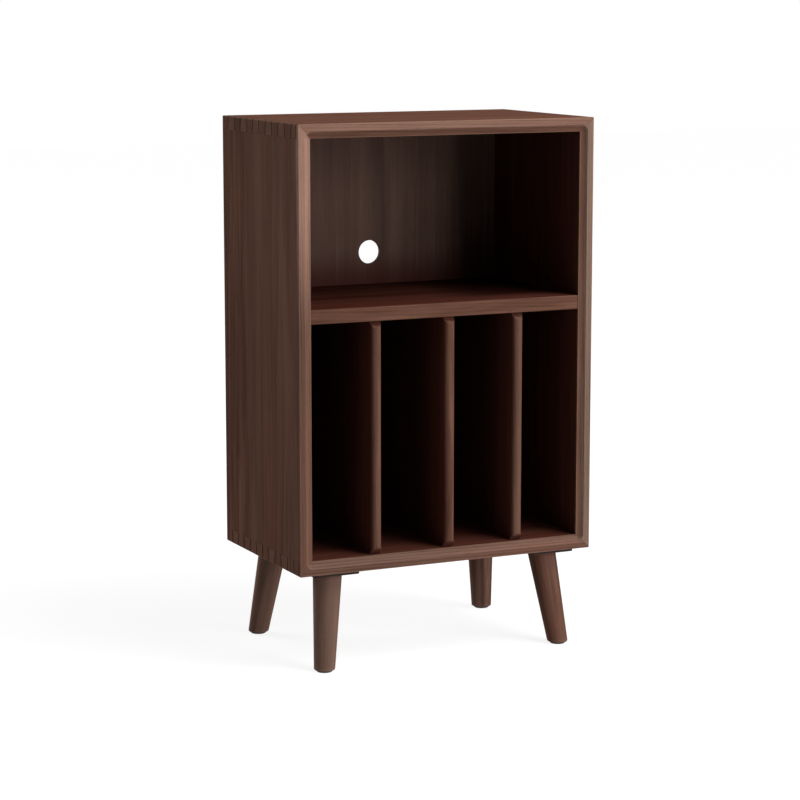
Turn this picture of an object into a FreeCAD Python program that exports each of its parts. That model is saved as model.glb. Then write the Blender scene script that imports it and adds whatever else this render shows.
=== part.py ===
import FreeCAD, Part
import os
from math import hypot

import Sketcher
from FreeCAD import Placement, Rotation, Vector

# A record cabinet: a dovetailed case with an open compartment above a fixed shelf,
# record slots between upright dividers below it, and four splayed legs on steel plates.
# Millimetres. The origin is on the floor under the middle of the case, +Z is up,
# the open front faces -Y, and +X is to the right of someone who looks at the front.

# The driving dimensions: name, value and what it is.
SIZES = [
    ("case_width", 550, "case, outside, left to right"),
    ("case_depth", 330, "case, outside, front to back"),
    ("case_height", 750, "case, outside, without the legs"),
    ("board", 24, "thickness of the four case boards"),
    ("arris", 1.5, "rounding of the case's outer edges"),
    ("cove_radius", 15, "radius of the hollow cut round the front opening"),
    ("cove_depth", 6, "depth of that hollow behind the front face"),
    ("mitre_depth", 7, "depth of the mitred part at the front of each corner joint"),
    ("front_pin", 20.5, "width of the pin behind the mitre, in its middle"),
    ("tail_count", 6, "tails at each end of a side board"),
    ("tail_flare", 1.5, "what a tail's flank leans out from its middle to its end"),
    ("slot_height", 397, "clear height of the record slots"),
    ("first_slot", 110.5, "width of the record slot on the left"),
    ("second_slot", 117, "width of the slot beside it"),
    ("third_slot", 110, "width of the third slot; the last has what is left"),
    ("shelf_thickness", 24, "thickness of the shelf"),
    ("front_setback", 1, "shelf and dividers behind the hollow's inner edge"),
    ("shelf_arris", 1.5, "rounding of the shelf's two front edges"),
    ("divider_thickness", 20, "thickness of a divider, whose front edge is half round"),
    ("divider_bevel", 12, "45 degree cut at a divider's two front corners"),
    ("panel_thickness", 9, "thickness of the back panel"),
    ("panel_inset", 2, "back panel in front of the boards' back edges"),
    ("panel_gap", 0.5, "play round the edges of the back panel"),
    ("ledge", 12, "width of the rebate that the back panel lies in"),
    ("cable_hole", 42, "diameter of the cable hole"),
    ("cable_hole_height", 57, "centre of the cable hole above the shelf"),
    ("cable_hole_arris", 1, "rounding of the cable hole's two edges"),
    ("dowel_diameter", 8, "dowels of the shelf and the dividers"),
    ("dowel_length", 30, "length of a dowel"),
    ("dowel_depth", 14, "depth of a dowel's hole in the face of a board"),
    ("dowel_play", 0.15, "play round a dowel"),
    ("dowel_end_play", 1, "play at each end of a dowel"),
    ("dowel_chamfer", 1, "chamfer of a dowel's ends"),
    ("dowel_inset", 45, "outer dowels from the front and the back of what they hold"),
    ("leg_length", 162, "height of a leg between its glide and its plate"),
    ("leg_top_diameter", 50, "leg under the plate"),
    ("leg_foot_diameter", 36, "leg at the foot"),
    ("leg_foot_round", 2.5, "rounding of the foot's edge"),
    ("leg_splay_side", 19, "foot further out sideways than the leg's top"),
    ("leg_splay_end", 29, "foot further out to the front or back than the leg's top"),
    ("leg_inset_side", 70, "middle of the leg's top from the case's side"),
    ("leg_inset_end", 48, "middle of the leg's top from the case's front or back"),
    ("plate_size", 84, "side of the square leg plate"),
    ("plate_thickness", 5, "thickness of the leg plate"),
    ("plate_corner", 6, "radius of the plate's corners"),
    ("plate_arris", 0.8, "rounding of the plate's lower edge"),
    ("glide_diameter", 26, "glide under the foot"),
    ("glide_thickness", 3, "thickness of the glide"),
    ("glide_round", 0.8, "rounding of the glide's lower edge"),
    ("bolt_diameter", 8, "hanger bolt between the leg and its plate"),
    ("bolt_in_leg", 38, "height of the bolt inside the leg"),
    ("bolt_above_plate", 8, "height of the bolt above the plate"),
    ("bolt_play", 0.2, "play round the bolt"),
    ("bolt_end_play", 2, "play past the bolt's ends"),
    ("bolt_tip_play", 0.5, "play round the bolt's tip in the bottom board"),
    ("bolt_chamfer", 1, "chamfer of the bolt's ends"),
    ("plate_screw_diameter", 4, "shank of a plate screw"),
    ("plate_screw_head", 8, "head of a plate screw"),
    ("plate_screw_length", 20, "length of a plate screw"),
    ("plate_screw_inset", 12, "plate screws from the plate's edges"),
    ("back_screw_diameter", 3.5, "shank of a back panel screw"),
    ("back_screw_head", 7, "head of a back panel screw"),
    ("back_screw_length", 25, "length of a back panel screw"),
    ("back_screw_inset", 60, "outer back panel screws from the corners of the opening"),
    ("back_screw_up_count", 4, "back panel screws in each side board"),
    ("back_screw_across_count", 3, "back panel screws in the top, the bottom and the shelf"),
    ("screw_play", 0.15, "play round a screw"),
    ("screw_end_play", 1, "play past a screw's tip"),
    ("screw_tip_share", 1.2, "length of a screw's tip, of its shank's diameter"),
    ("recess_span_share", 0.6, "span of a screw's cross recess, of its head"),
    ("recess_width_share", 0.15, "width of the recess's arms, of its head"),
    ("recess_depth_share", 0.16, "depth of the recess, of its head"),
    ("overrun", 1, "what a cut runs on past the face that it leaves through"),
    ("same_place", 0.0001, "two coordinates closer than this are one place"),
]

# Each divider with the slots to its left, and each corner with its sides' signs.
DIVIDERS = {
    "divider_left": ("first_slot",),
    "divider_middle": ("first_slot", "second_slot"),
    "divider_right": ("first_slot", "second_slot", "third_slot"),
}
CORNERS = {
    "front_left": (-1, -1),
    "front_right": (1, -1),
    "back_left": (-1, 1),
    "back_right": (1, 1),
}

# Sizes and places worked out from those, as expressions. The case's own origin is its
# middle, and the boards and what they hold are placed from there.
HALF_WIDTH = "(sizes.case_width / 2)"
HALF_DEPTH = "(sizes.case_depth / 2)"
HALF_HEIGHT = "(sizes.case_height / 2)"
INNER_X = f"({HALF_WIDTH} - sizes.board)"
INNER_Z = f"({HALF_HEIGHT} - sizes.board)"
PLATE_Z = "(sizes.glide_thickness + sizes.leg_length)"
CASE_Z = f"({PLATE_Z} + sizes.plate_thickness + {HALF_HEIGHT})"
COVE_AXIS_Y = f"(-{HALF_DEPTH} - sizes.cove_radius + sizes.cove_depth)"
FRONT_PIN_Y = f"(-{HALF_DEPTH} + sizes.mitre_depth)"
FIRST_TAIL_Y = f"({FRONT_PIN_Y} + sizes.front_pin)"
FINGER = f"(({HALF_DEPTH} - {FIRST_TAIL_Y}) / (2 * sizes.tail_count - 1))"
FIRST_PIN_Y = f"({FIRST_TAIL_Y} + 1.5 * {FINGER})"
PANEL_Y = f"({HALF_DEPTH} - sizes.panel_inset - sizes.panel_thickness)"
PANEL_BACK_Y = f"({HALF_DEPTH} - sizes.panel_inset)"
REBATE_DEPTH = "(sizes.panel_inset + sizes.panel_thickness + sizes.overrun)"
SHELF_Y = f"(-{HALF_DEPTH} + sizes.cove_depth + sizes.front_setback)"
SHELF_DEPTH = f"({PANEL_Y} - {SHELF_Y})"
SHELF_Z = f"(-{INNER_Z} + sizes.slot_height)"
SHELF_MIDDLE_Z = f"({SHELF_Z} + sizes.shelf_thickness / 2)"
CABLE_HOLE_Z = f"({SHELF_Z} + sizes.shelf_thickness + sizes.cable_hole_height)"
DOWEL_HOLE = "(sizes.dowel_diameter + 2 * sizes.dowel_play)"
DOWEL_END_DEPTH = "(sizes.dowel_length + 2 * sizes.dowel_end_play - sizes.dowel_depth)"
DOWEL_YS = (
    f"({SHELF_Y} + sizes.dowel_inset)",
    f"({SHELF_Y} + {SHELF_DEPTH} / 2)",
    f"({PANEL_Y} - sizes.dowel_inset)",
)
LEG_X = f"({HALF_WIDTH} - sizes.leg_inset_side)"
LEG_Y = f"({HALF_DEPTH} - sizes.leg_inset_end)"
LEAN = "atan(hypot(sizes.leg_splay_side; sizes.leg_splay_end) / sizes.leg_length)"
LEANING_OVERRUN = "(sizes.overrun + sizes.bolt_diameter / 2)"
BOLT_HOLE_RADIUS = "(sizes.bolt_diameter / 2 + sizes.bolt_play)"
BOLT_TOP = "(sizes.plate_thickness + sizes.bolt_above_plate)"
PLATE_SCREW_OFFSET = "(sizes.plate_size / 2 - sizes.plate_screw_inset)"

doc = FreeCAD.newDocument("record_cabinet")
sheet = doc.addObject("Spreadsheet::Sheet", "sizes")
for row, (alias, value, note) in enumerate(SIZES, 1):
    sheet.set(f"A{row}", alias)
    sheet.set(f"B{row}", str(value))
    sheet.setAlias(f"B{row}", alias)
    sheet.set(f"C{row}", note)
doc.recompute()

# The finished pieces by their names.
made = {}


def number(text):
    """The value of an expression on the sheet's sizes."""
    value = sheet.evalExpression(text)
    return float(getattr(value, "Value", value))


def vector(texts):
    return Vector(*(number(text) for text in texts))


def near(first, second):
    return abs(first - second) < number("sizes.same_place")


def new_body(name, place=("0", "0", "0")):
    """A body whose own origin lies at that place."""
    body = doc.addObject("PartDesign::Body", name)
    body.Label = name
    for axis, text in zip("xyz", place):
        body.setExpression(f".Placement.Base.{axis}", text)
    return body


def origin_part(body, role):
    return next(part for part in body.Origin.OriginFeatures if part.Role == role)


def attach(item, body, role, offset=("0", "0", "0")):
    """Sets an item on one of its body's own planes, moved in that plane's axes."""
    item.AttachmentSupport = [(origin_part(body, role), "")]
    item.MapMode = "FlatFace"
    for axis, text in zip("xyz", offset):
        item.setExpression(f".AttachmentOffset.Base.{axis}", text)


def block(body, name, kind, low, size):
    """Adds a box or takes one away, by its lowest corner and its size."""
    item = body.newObject(f"PartDesign::{kind}Box", name)
    attach(item, body, "XY_Plane", low)
    for side, text in zip(("Length", "Width", "Height"), size):
        item.setExpression(side, text)
    body.Tip = item


def rod(body, name, kind, low, radius, height):
    """Adds an upright cylinder or takes one away, by the middle of its lower end."""
    item = body.newObject(f"PartDesign::{kind}Cylinder", name)
    attach(item, body, "XY_Plane", low)
    item.setExpression("Radius", radius)
    item.setExpression("Height", height)
    body.Tip = item
    return item


def new_sketch(body, name, role, lift="0"):
    sketch = body.newObject("Sketcher::SketchObject", name)
    attach(sketch, body, role, ("0", "0", lift))
    return sketch


def hold(sketch, geometry, point, place):
    """Holds a point of a sketch at a place given by two expressions."""
    for kind, text in zip(("DistanceX", "DistanceY"), place):
        constraint = Sketcher.Constraint(kind, -1, 1, geometry, point, number(text))
        index = sketch.addConstraint(constraint)
        sketch.setExpression(f"Constraints[{index}]", text)


def add_outline(sketch, corners, closed=True):
    """Draws straight lines through corners, each held at its two expressions."""
    first = sketch.GeometryCount
    places = [Vector(number(x), number(y), 0) for x, y in corners]
    ends = places[1:] + places[:1] if closed else places[1:]
    for start, end in zip(places, ends):
        sketch.addGeometry(Part.LineSegment(start, end), False)
    for step in range(len(ends)):
        after = (step + 1) % len(corners)
        if closed or after < len(ends):
            join = Sketcher.Constraint("Coincident", first + step, 2, first + after, 1)
            sketch.addConstraint(join)
        hold(sketch, first + step, 1, corners[step])
    if not closed:
        hold(sketch, first + len(ends) - 1, 2, corners[-1])


def outlines(body, name, role, loops, lift="0"):
    """A sketch of closed outlines."""
    sketch = new_sketch(body, name, role, lift)
    for corners in loops:
        add_outline(sketch, corners)
    return sketch


def circles(body, name, role, centres, diameter, lift="0"):
    """A sketch of equal circles about centres given by two expressions each."""
    sketch = new_sketch(body, name, role, lift)
    upwards = Vector(0, 0, 1)
    for x, y in centres:
        middle = Vector(number(x), number(y), 0)
        circle = Part.Circle(middle, upwards, number(diameter) / 2)
        geometry = sketch.addGeometry(circle, False)
        hold(sketch, geometry, 3, (x, y))
        size = Sketcher.Constraint("Diameter", geometry, number(diameter))
        index = sketch.addConstraint(size)
        sketch.setExpression(f"Constraints[{index}]", diameter)
    return sketch


def extrude(body, name, kind, sketch, length, backwards=False, both_ways=False):
    """Pads or pockets a sketch: a pad along the plane's normal, a pocket against it."""
    item = body.newObject(f"PartDesign::{kind}", name)
    item.Profile = sketch
    item.setExpression("Length", length)
    item.Reversed = backwards
    item.SideType = "Symmetric" if both_ways else "One side"
    body.Tip = item
    return item


def drill(body, name, role, centres, diameter, depth, lift, backwards=False):
    """Blind round holes of one depth."""
    sketch = circles(body, f"{name}_sketch", role, centres, diameter, lift)
    extrude(body, name, "Pocket", sketch, depth, backwards)


def countersink(body, name, role, centres, screw, lift="0"):
    """Through holes for countersunk screws that enter along the plane's normal."""
    shank = f"(sizes.{screw}_diameter + 2 * sizes.screw_play)"
    sketch = circles(body, f"{name}_sketch", role, centres, shank, lift)
    doc.recompute()
    item = body.newObject("PartDesign::Hole", name)
    item.Profile = sketch
    item.ThreadType = "None"
    item.setExpression("Diameter", shank)
    item.DepthType = "ThroughAll"
    item.HoleCutType = "Countersink"
    item.HoleCutCustomValues = True
    item.setExpression("HoleCutDiameter", f"sizes.{screw}_head + 2 * sizes.screw_play")
    item.HoleCutCountersinkAngle = 90
    item.Reversed = True
    body.Tip = item


def dress_edges(body, name, kind, test, size):
    """Rounds or chamfers the last feature's edges that lie where a test says."""
    doc.recompute()
    base = body.Tip
    names = []
    for index, edge in enumerate(base.Shape.Edges, 1):
        middle = edge.valueAt((edge.FirstParameter + edge.LastParameter) / 2)
        if test(middle) and all(test(vertex.Point) for vertex in edge.Vertexes):
            names.append(f"Edge{index}")
    item = body.newObject(f"PartDesign::{kind}", name)
    item.Base = (base, names)
    item.setExpression("Radius" if kind == "Fillet" else "Size", size)
    body.Tip = item


def finish_piece(name, item):
    """Files a finished piece under its own name."""
    item.Label = name
    made[name] = item


def lean(item, path, side, end):
    """Turns an upright item so that it leans as the leg at that corner does."""
    item.setExpression(f".{path}.Rotation.Axis.x", f"{end} * sizes.leg_splay_end")
    item.setExpression(f".{path}.Rotation.Axis.y", f"{-side} * sizes.leg_splay_side")
    item.setExpression(f".{path}.Rotation.Axis.z", "0")
    item.setExpression(f".{path}.Rotation.Angle", LEAN)


def on_leg_axis(side, end, height):
    """A point of a leg's axis at a height above the leg's top."""
    fall = f"(-{height} / sizes.leg_length)"
    return (
        f"{side} * sizes.leg_splay_side * {fall}",
        f"{end} * sizes.leg_splay_end * {fall}",
        height,
    )


def spread(count, reach):
    """Evenly spaced places from minus the reach to the reach."""
    total = round(number(count))
    return [f"({2 * step - total + 1} / {total - 1} * {reach})" for step in range(total)]


def back_screw_places(name):
    """Where back panel screws enter a piece, across and up from the case's middle."""
    across = spread("sizes.back_screw_across_count", f"({INNER_X} - sizes.back_screw_inset)")
    up = spread("sizes.back_screw_up_count", f"({INNER_Z} - sizes.back_screw_inset)")
    side_x = f"({INNER_X} + sizes.ledge / 2)"
    end_z = f"({INNER_Z} + sizes.ledge / 2)"
    return {
        "side_panel_left": [(f"-{side_x}", z) for z in up],
        "side_panel_right": [(side_x, z) for z in up],
        "bottom_board": [(x, f"-{end_z}") for x in across],
        "top_board": [(x, end_z) for x in across],
        "shelf": [(x, SHELF_MIDDLE_Z) for x in across],
    }[name]


BACK_SCREWED = ("side_panel_left", "side_panel_right", "bottom_board", "top_board", "shelf")


def drill_for_back_screws(body, name):
    drill(
        body,
        f"{name}_back_screw_holes",
        "XZ_Plane",
        back_screw_places(name),
        "(sizes.back_screw_diameter + 2 * sizes.screw_play)",
        "(sizes.back_screw_length - sizes.panel_thickness + sizes.screw_end_play)",
        f"-{PANEL_Y}",
        backwards=True,
    )


def make_case_form():
    """The outside of the whole case: rounded edges and the hollow round the opening.

    A ball-nosed cutter ran round the opening with its middle above the opening's edge,
    so each straight hollow is part of a cylinder and each corner is part of a ball."""
    body = new_body("case_form", ("0", "0", CASE_Z))
    block(
        body,
        "whole_case",
        "Additive",
        (f"-{HALF_WIDTH}", f"-{HALF_DEPTH}", f"-{HALF_HEIGHT}"),
        ("sizes.case_width", "sizes.case_depth", "sizes.case_height"),
    )
    dress_edges(body, "outer_edges", "Fillet", lambda point: True, "sizes.arris")
    diameter = "2 * sizes.cove_radius"
    lying = [(COVE_AXIS_Y, f"-{INNER_Z}"), (COVE_AXIS_Y, INNER_Z)]
    sketch = circles(body, "cove_across_sketch", "YZ_Plane", lying, diameter)
    extrude(body, "cove_across", "Pocket", sketch, f"2 * {INNER_X}", both_ways=True)
    upright = [(f"-{INNER_X}", COVE_AXIS_Y), (INNER_X, COVE_AXIS_Y)]
    sketch = circles(body, "cove_upright_sketch", "XY_Plane", upright, diameter)
    extrude(body, "cove_upright", "Pocket", sketch, f"2 * {INNER_Z}", both_ways=True)
    for side, left_or_right in ((-1, "left"), (1, "right")):
        for end, low_or_high in ((-1, "low"), (1, "high")):
            name = f"cove_corner_{low_or_high}_{left_or_right}"
            ball = body.newObject("PartDesign::SubtractiveSphere", name)
            place = (f"{side} * {INNER_X}", f"{end} * {INNER_Z}", f"-{COVE_AXIS_Y}")
            attach(ball, body, "XZ_Plane", place)
            ball.setExpression("Radius", "sizes.cove_radius")
            body.Tip = ball
    return body


def shape_board(name, body, form):
    """Gives a jointed board the case's rounded and hollowed outside."""
    board = doc.addObject("Part::Common", f"{name}_shaped")
    board.Base = body
    board.Tool = form
    finish_piece(name, board)


def row_of_pins(body, name, end, kind, length):
    """The pins at one end of the case, cut into a side board or built on an end board.

    Seen from the side, a pin is as wide as a finger in its middle and narrower outwards.
    The pin behind the mitre has one leaning flank, at its back."""
    inner_half = f"({FINGER} / 2 + sizes.tail_flare)"
    outer_half = f"({FINGER} / 2 - sizes.tail_flare)"
    inner = f"{end} * {INNER_Z}"
    outer = f"{end} * {HALF_HEIGHT}"
    front_pin = [
        (FRONT_PIN_Y, inner),
        (f"({FIRST_TAIL_Y} + sizes.tail_flare)", inner),
        (f"({FIRST_TAIL_Y} - sizes.tail_flare)", outer),
        (FRONT_PIN_Y, outer),
    ]
    sketch = outlines(body, f"{name}_front_sketch", "YZ_Plane", [front_pin])
    extrude(body, f"{name}_front", kind, sketch, length, both_ways=True)
    pin = [
        (f"({FIRST_PIN_Y} - {inner_half})", inner),
        (f"({FIRST_PIN_Y} + {inner_half})", inner),
        (f"({FIRST_PIN_Y} + {outer_half})", outer),
        (f"({FIRST_PIN_Y} - {outer_half})", outer),
    ]
    sketch = outlines(body, f"{name}_sketch", "YZ_Plane", [pin])
    first = extrude(body, name, kind, sketch, length, both_ways=True)
    row = body.newObject("PartDesign::LinearPattern", f"{name}_row")
    row.Originals = [first]
    row.Direction = (origin_part(body, "Y_Axis"), [""])
    row.Mode = "Extent"
    row.setExpression("Length", f"2 * {FINGER} * (sizes.tail_count - 2)")
    row.setExpression("Occurrences", "sizes.tail_count - 1")
    body.Tip = row


def make_side_panel(name, side, form):
    """A side board with its tails, mitred at the front."""
    body = new_body(f"{name}_jointed", ("0", "0", CASE_Z))
    outer = f"{side} * {HALF_WIDTH}"
    inner = f"{side} * {INNER_X}"
    block(
        body,
        f"{name}_blank",
        "Additive",
        (INNER_X if side > 0 else outer, f"-{HALF_DEPTH}", f"-{HALF_HEIGHT}"),
        ("sizes.board", "sizes.case_depth", "sizes.case_height"),
    )
    through = "sizes.case_width + 2 * sizes.overrun"
    row_of_pins(body, f"{name}_low_sockets", -1, "Pocket", through)
    row_of_pins(body, f"{name}_high_sockets", 1, "Pocket", through)
    mitres = [
        [
            (inner, f"{end} * {INNER_Z}"),
            (outer, f"{end} * {HALF_HEIGHT}"),
            (inner, f"{end} * {HALF_HEIGHT}"),
        ]
        for end in (-1, 1)
    ]
    sketch = outlines(body, f"{name}_mitre_sketch", "XZ_Plane", mitres, HALF_DEPTH)
    extrude(body, f"{name}_mitres", "Pocket", sketch, "sizes.mitre_depth")
    block(
        body,
        f"{name}_rebate",
        "Subtractive",
        (
            INNER_X if side > 0 else f"(-{INNER_X} - sizes.ledge)",
            PANEL_Y,
            f"(-{INNER_Z} - sizes.ledge)",
        ),
        ("sizes.ledge", REBATE_DEPTH, f"2 * ({INNER_Z} + sizes.ledge)"),
    )
    drill(
        body,
        f"{name}_dowel_holes",
        "YZ_Plane",
        [(y, SHELF_MIDDLE_Z) for y in DOWEL_YS],
        DOWEL_HOLE,
        "sizes.dowel_depth",
        inner,
        backwards=side > 0,
    )
    drill_for_back_screws(body, name)
    shape_board(name, body, form)


def make_end_board(name, end, form):
    """The top board, or with end -1 the bottom board, with its pins and mitred front."""
    body = new_body(f"{name}_jointed", ("0", "0", CASE_Z))
    block(
        body,
        f"{name}_blank",
        "Additive",
        (f"-{INNER_X}", f"-{HALF_DEPTH}", INNER_Z if end > 0 else f"-{HALF_HEIGHT}"),
        (f"2 * {INNER_X}", "sizes.case_depth", "sizes.board"),
    )
    front = [
        (f"-{HALF_WIDTH}", f"{end} * {HALF_HEIGHT}"),
        (HALF_WIDTH, f"{end} * {HALF_HEIGHT}"),
        (INNER_X, f"{end} * {INNER_Z}"),
        (f"-{INNER_X}", f"{end} * {INNER_Z}"),
    ]
    sketch = outlines(body, f"{name}_mitre_sketch", "XZ_Plane", [front], HALF_DEPTH)
    extrude(body, f"{name}_mitres", "Pad", sketch, "sizes.mitre_depth", backwards=True)
    row_of_pins(body, f"{name}_pins", end, "Pad", "sizes.case_width")
    block(
        body,
        f"{name}_rebate",
        "Subtractive",
        (
            f"-{INNER_X}",
            PANEL_Y,
            INNER_Z if end > 0 else f"(-{INNER_Z} - sizes.ledge)",
        ),
        (f"2 * {INNER_X}", REBATE_DEPTH, "sizes.ledge"),
    )
    drill_for_back_screws(body, name)
    if end < 0:
        drill_bottom_board(body)
    shape_board(name, body, form)


def divider_x(name):
    """Middle of a divider, from the case's middle."""
    slots = DIVIDERS[name]
    width = " + ".join(f"sizes.{slot}" for slot in slots)
    return f"(-{INNER_X} + {width} + {len(slots) - 0.5} * sizes.divider_thickness)"


def divider_dowel_places():
    return [(divider_x(name), y) for name in DIVIDERS for y in DOWEL_YS]


def plate_screw_places():
    """The plates' screws from the middle of the case, four at each corner."""
    return [
        (
            f"({side} * {LEG_X} + {across} * {PLATE_SCREW_OFFSET})",
            f"({end} * {LEG_Y} + {along} * {PLATE_SCREW_OFFSET})",
        )
        for side, end in CORNERS.values()
        for across in (-1, 1)
        for along in (-1, 1)
    ]


def drill_bottom_board(body):
    """Dowel holes in its upper face, and holes for bolts and screws underneath."""
    drill(
        body,
        "bottom_dowel_holes",
        "XY_Plane",
        divider_dowel_places(),
        DOWEL_HOLE,
        "sizes.dowel_depth",
        f"-{INNER_Z}",
    )
    splay = "hypot(sizes.leg_splay_side; sizes.leg_splay_end)"
    tip_shift = f"({splay} * {BOLT_TOP} / sizes.leg_length)"
    tip_rise = f"(sizes.bolt_diameter / 2 * sin({LEAN}))"
    drill(
        body,
        "bolt_tip_holes",
        "XY_Plane",
        [(f"{side} * {LEG_X}", f"{end} * {LEG_Y}") for side, end in CORNERS.values()],
        f"(sizes.bolt_diameter + 2 * {tip_shift} + 2 * sizes.bolt_tip_play)",
        f"(sizes.bolt_above_plate + {tip_rise} + sizes.bolt_end_play)",
        f"-{HALF_HEIGHT}",
        backwards=True,
    )
    drill(
        body,
        "plate_screw_holes",
        "XY_Plane",
        plate_screw_places(),
        "(sizes.plate_screw_diameter + 2 * sizes.screw_play)",
        "(sizes.plate_screw_length - sizes.plate_thickness + sizes.screw_end_play)",
        f"-{HALF_HEIGHT}",
        backwards=True,
    )


def make_shelf():
    body = new_body("shelf", ("0", "0", CASE_Z))
    block(
        body,
        "shelf_blank",
        "Additive",
        (f"-{INNER_X}", SHELF_Y, SHELF_Z),
        (f"2 * {INNER_X}", SHELF_DEPTH, "sizes.shelf_thickness"),
    )
    front = number(SHELF_Y)
    faces = (number(SHELF_Z), number(f"{SHELF_Z} + sizes.shelf_thickness"))
    dress_edges(
        body,
        "shelf_front_edges",
        "Fillet",
        lambda point: near(point.y, front) and any(near(point.z, z) for z in faces),
        "sizes.shelf_arris",
    )
    for side, left_or_right in ((-1, "left"), (1, "right")):
        drill(
            body,
            f"shelf_dowel_holes_{left_or_right}",
            "YZ_Plane",
            [(y, SHELF_MIDDLE_Z) for y in DOWEL_YS],
            DOWEL_HOLE,
            DOWEL_END_DEPTH,
            f"{side} * {INNER_X}",
            backwards=side < 0,
        )
    drill(
        body,
        "shelf_divider_dowel_holes",
        "XY_Plane",
        divider_dowel_places(),
        DOWEL_HOLE,
        "sizes.dowel_depth",
        SHELF_Z,
        backwards=True,
    )
    drill_for_back_screws(body, "shelf")
    finish_piece("shelf", body)


def make_divider(name):
    """An upright board with a half-round front edge, its front corners cut at 45 degrees."""
    body = new_body(name, (divider_x(name), "0", CASE_Z))
    half = "(sizes.divider_thickness / 2)"
    nose_y = f"({SHELF_Y} + {half})"
    plan = new_sketch(body, f"{name}_plan", "XY_Plane", f"-{INNER_Z}")
    corners = [(half, nose_y), (half, PANEL_Y), (f"-{half}", PANEL_Y), (f"-{half}", nose_y)]
    add_outline(plan, corners, closed=False)
    nose = Part.Circle(Vector(0, number(nose_y), 0), Vector(0, 0, 1), number(half))
    half_turn = number("pi")
    arc = plan.addGeometry(Part.ArcOfCircle(nose, half_turn, 2 * half_turn), False)
    last = len(corners) - 2
    plan.addConstraint(Sketcher.Constraint("Coincident", last, 2, arc, 1))
    plan.addConstraint(Sketcher.Constraint("Coincident", arc, 2, 0, 1))
    level = Sketcher.Constraint("DistanceY", -1, 1, arc, 3, number(nose_y))
    constraint = plan.addConstraint(level)
    plan.setExpression(f"Constraints[{constraint}]", nose_y)
    extrude(body, f"{name}_board", "Pad", plan, "sizes.slot_height")
    loops = []
    for face, outwards in ((f"-{INNER_Z}", "-"), (SHELF_Z, "+")):
        inwards = "+" if outwards == "-" else "-"
        past = f"({face} {outwards} sizes.overrun)"
        ahead = f"({SHELF_Y} - sizes.overrun)"
        loops.append(
            [
                (ahead, f"({face} {inwards} sizes.divider_bevel {inwards} sizes.overrun)"),
                (f"({SHELF_Y} + sizes.divider_bevel + sizes.overrun)", past),
                (ahead, past),
            ]
        )
    bevels = outlines(body, f"{name}_bevel_sketch", "YZ_Plane", loops)
    width = "sizes.divider_thickness + 2 * sizes.overrun"
    extrude(body, f"{name}_bevels", "Pocket", bevels, width, both_ways=True)
    for low_or_high, lift in (("low", f"-{INNER_Z}"), ("high", SHELF_Z)):
        drill(
            body,
            f"{name}_dowel_holes_{low_or_high}",
            "XY_Plane",
            [("0", y) for y in DOWEL_YS],
            DOWEL_HOLE,
            DOWEL_END_DEPTH,
            lift,
            backwards=low_or_high == "low",
        )
    finish_piece(name, body)


def make_back_panel():
    body = new_body("back_panel", ("0", "0", CASE_Z))
    half_x = f"({INNER_X} + sizes.ledge - sizes.panel_gap)"
    half_z = f"({INNER_Z} + sizes.ledge - sizes.panel_gap)"
    block(
        body,
        "panel_blank",
        "Additive",
        (f"-{half_x}", PANEL_Y, f"-{half_z}"),
        (f"2 * {half_x}", "sizes.panel_thickness", f"2 * {half_z}"),
    )
    hole = circles(
        body,
        "cable_hole_sketch",
        "XZ_Plane",
        [("0", CABLE_HOLE_Z)],
        "sizes.cable_hole",
        f"-({PANEL_Y} - sizes.overrun)",
    )
    extrude(
        body, "cable_hole_cut", "Pocket", hole, "sizes.panel_thickness + 2 * sizes.overrun"
    )
    radius = number("sizes.cable_hole / 2")
    middle = number(CABLE_HOLE_Z)
    dress_edges(
        body,
        "cable_hole_edges",
        "Fillet",
        lambda point: near(hypot(point.x, point.z - middle), radius),
        "sizes.cable_hole_arris",
    )
    places = [place for name in BACK_SCREWED for place in back_screw_places(name)]
    countersink(
        body, "panel_screw_holes", "XZ_Plane", places, "back_screw", f"-{PANEL_BACK_Y}"
    )
    finish_piece("back_panel", body)


def make_leg(corner, side, end):
    """A tapered leg that leans out both ways, bored along its axis for the hanger bolt."""
    name = f"leg_{corner}"
    body = new_body(name, (f"{side} * {LEG_X}", f"{end} * {LEG_Y}", PLATE_Z))
    top = circles(body, f"{name}_top", "XY_Plane", [("0", "0")], "sizes.leg_top_diameter")
    foot = circles(
        body,
        f"{name}_foot",
        "XY_Plane",
        [(f"{side} * sizes.leg_splay_side", f"{end} * sizes.leg_splay_end")],
        "sizes.leg_foot_diameter",
        "-sizes.leg_length",
    )
    taper = body.newObject("PartDesign::AdditiveLoft", f"{name}_taper")
    taper.Profile = top
    taper.Sections = [foot]
    body.Tip = taper
    low = number("-sizes.leg_length")
    dress_edges(
        body,
        f"{name}_foot_edge",
        "Fillet",
        lambda point: near(point.z, low),
        "sizes.leg_foot_round",
    )
    bore = rod(
        body,
        f"{name}_bore",
        "Subtractive",
        on_leg_axis(side, end, "(-sizes.bolt_in_leg - sizes.bolt_end_play)"),
        BOLT_HOLE_RADIUS,
        f"(sizes.bolt_in_leg + sizes.bolt_end_play + {LEANING_OVERRUN}) / cos({LEAN})",
    )
    lean(bore, "AttachmentOffset", side, end)
    finish_piece(name, body)


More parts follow.
